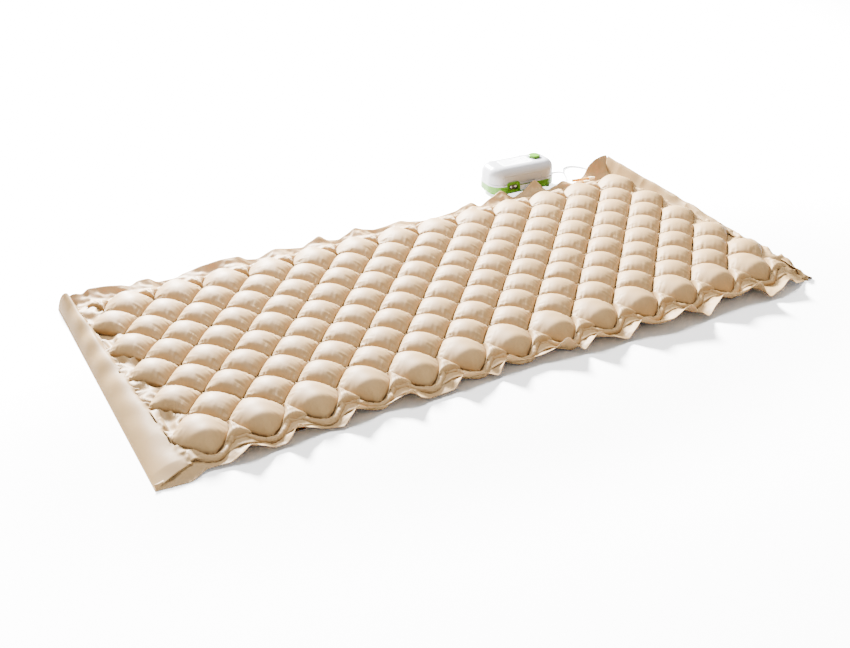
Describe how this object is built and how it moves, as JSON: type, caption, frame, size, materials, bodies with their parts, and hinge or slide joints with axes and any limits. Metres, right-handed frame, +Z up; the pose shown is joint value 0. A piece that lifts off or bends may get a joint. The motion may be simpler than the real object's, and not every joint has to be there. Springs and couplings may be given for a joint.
{
  "type": "pressure relief mattress",
  "caption": "Quilted air overlay with staggered diamond air cells, loose side skirts and tuck-in end flaps, beside its small mains air pump on the floor.",
  "frame": {"origin": "centre of the field of air cells, on the underside of the pad", "axes": "+X along the pad to the head end, +Y across it to the side where the pump stands, +Z up"},
  "size_m": [2.0955, 1.1848, 0.1069],
  "materials": {
    "pad_film": "satin soft PVC film",
    "amber_rubber": "translucent satin",
    "cream_plastic": "satin",
    "white_casing": "gloss",
    "green_casing": "gloss",
    "dark_rubber": "matt",
    "dark_plastic": "satin",
    "label_film": "satin printed film",
    "white_plastic": "satin",
    "zinc_steel": "zinc plated",
    "motor_metal": "satin",
    "magnet": "matt ferrite",
    "copper_wire": "enamelled",
    "board": "solder mask",
    "hose_rubber": "satin",
    "cord_sheath": "satin",
    "tie_plastic": "satin",
    "plug_brass": "polished"
  },
  "bodies": {
    "pad": {"air_cells_circuit_a": "pad_film", "air_cells_circuit_b": "pad_film", "edge_cells_near": "pad_film", "edge_cells_far": "pad_film", "supply_channel_near": "pad_film", "supply_channel_far": "pad_film", "lower_film": "pad_film", "weld_lattice": "pad_film", "side_skirt_near": "pad_film", "side_skirt_far": "pad_film", "foot_end_band": "pad_film", "head_end_band": "pad_film", "inlet_tubes": "amber_rubber", "inlet_connectors": "cream_plastic"},
    "foot_flap": {"foot_end_flap": "pad_film"},
    "head_flap": {"head_end_flap": "pad_film"},
    "knob": {"pressure_knob": "green_casing", "knob_shaft": "dark_plastic"},
    "rocker": {"power_rocker": "dark_plastic"},
    "hook_left": {"hanger_hook_left": "white_plastic"},
    "hook_right": {"hanger_hook_right": "white_plastic"},
    "arm_near": {"swing_arm_near": "white_plastic", "arm_magnet_near": "magnet"},
    "arm_far": {"swing_arm_far": "white_plastic", "arm_magnet_far": "magnet"},
    "disc": {"valve_disc": "white_plastic"},
    "pump": {"air_manifold": "white_plastic", "arm_pivot_pins": "zinc_steel", "casing_screws": "zinc_steel", "check_valves": "dark_rubber", "coil_bobbin": "white_plastic", "coil_winding": "copper_wire", "control_board": "board", "cord_coil": "cord_sheath", "cord_tie": "tie_plastic", "deck_mounts": "dark_rubber", "diaphragm_far": "dark_rubber", "diaphragm_near": "dark_rubber", "hook_pins": "zinc_steel", "internal_hoses": "hose_rubber", "lower_casing": "green_casing", "magnet_core": "zinc_steel", "mains_cord": "cord_sheath", "outlet_nozzles": "white_plastic", "plug_body": "cord_sheath", "plug_pins": "plug_brass", "port_plate": "dark_plastic", "port_surround": "green_casing", "pressure_control": "dark_plastic", "pump_chambers": "white_plastic", "pump_feet": "dark_rubber", "side_label": "label_film", "strain_relief": "cord_sheath", "switch_frame": "dark_plastic", "timing_motor": "motor_metal", "top_label": "label_film", "upper_casing": "white_casing", "valve_seat": "white_plastic", "works_deck": "white_plastic"}
  },
  "joints": [
    {"name": "foot_flap_fold", "type": "hinge", "parent": "pad", "child": "foot_flap", "pos_m": [-1.043, -0.47, 0.00065], "axis": [0.0678, 0.9977, 0], "range_deg": [0, 180]},
    {"name": "head_flap_fold", "type": "hinge", "parent": "pad", "child": "head_flap", "pos_m": [0.973, -0.462, 0.00065], "axis": [0, -1, 0], "range_deg": [0, 180]},
    {"name": "pump_lift", "type": "slide", "parent": "pad", "child": "pump", "axis": [0, 0, 1], "range_m": [0, 0.4]},
    {"name": "knob_turn", "type": "hinge", "parent": "pump", "child": "knob", "pos_m": [0.70212, 0.5684, 0.099], "axis": [0, 0, -1], "range_deg": [0, 270]},
    {"name": "power_switch", "type": "hinge", "parent": "pump", "child": "rocker", "pos_m": [0.75528, 0.56124, 0.055], "axis": [0, 0, 1], "range_deg": [0, 14]},
    {"name": "hook_left_fold", "type": "hinge", "parent": "pump", "child": "hook_left", "pos_m": [0.57693, 0.63645, 0.05], "axis": [-0.9982, 0.0593, 0], "range_deg": [0, 90]},
    {"name": "hook_right_fold", "type": "hinge", "parent": "pump", "child": "hook_right", "pos_m": [0.69672, 0.62933, 0.05], "axis": [-0.9982, 0.0593, 0], "range_deg": [0, 90]},
    {"name": "arm_near_swing", "type": "hinge", "parent": "pump", "child": "arm_near", "pos_m": [0.6912, 0.53649, 0.033], "axis": [0, 0, 1], "range_deg": [-1.5, 1.5], "stiffness_Nm_per_rad": 0.4, "deforming": ["diaphragm_near"]},
    {"name": "arm_far_swing", "type": "hinge", "parent": "pump", "child": "arm_far", "pos_m": [0.69459, 0.59339, 0.033], "axis": [0, 0, 1], "range_deg": [-1.5, 1.5], "stiffness_Nm_per_rad": 0.4, "deforming": ["diaphragm_far"]},
    {"name": "valve_disc_turn", "type": "hinge", "parent": "pump", "child": "disc", "pos_m": [0.54515, 0.57372, 0.033], "axis": [0, 0, 1], "continuous": true}
  ],
  "couplings": [
    {"joint": "arm_far_swing", "follows": "arm_near_swing", "ratio": -1}
  ]
}
